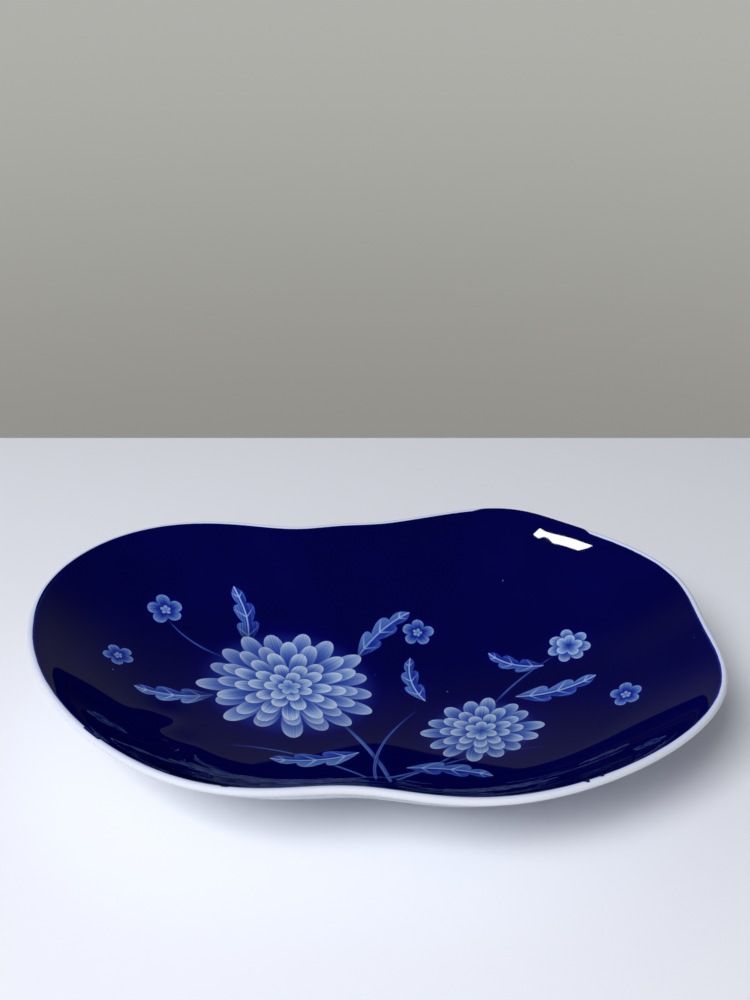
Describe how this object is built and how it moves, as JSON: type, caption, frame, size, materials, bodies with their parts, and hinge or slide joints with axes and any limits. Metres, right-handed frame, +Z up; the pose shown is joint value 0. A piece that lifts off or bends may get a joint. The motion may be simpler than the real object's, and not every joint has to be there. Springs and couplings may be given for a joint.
{
  "type": "porcelain dish",
  "caption": "Free-form oval porcelain dish with a white rounded lip, a cobalt-blue glazed well and a low oval foot ring.",
  "frame": {"origin": "on the table surface, under the middle of the dish's box", "axes": "+X along the length of the dish, towards the end on the right when its deeper waist is at the back; +Z up"},
  "size_m": [0.3, 0.205, 0.0528],
  "materials": {
    "white_porcelain": "gloss",
    "cobalt_glaze": "gloss",
    "bare_foot": "matte"
  },
  "bodies": {
    "root": {"foot_ring": "bare_foot", "porcelain_shell": "white_porcelain", "cobalt_glaze": "cobalt_glaze"}
  },
  "joints": []
}
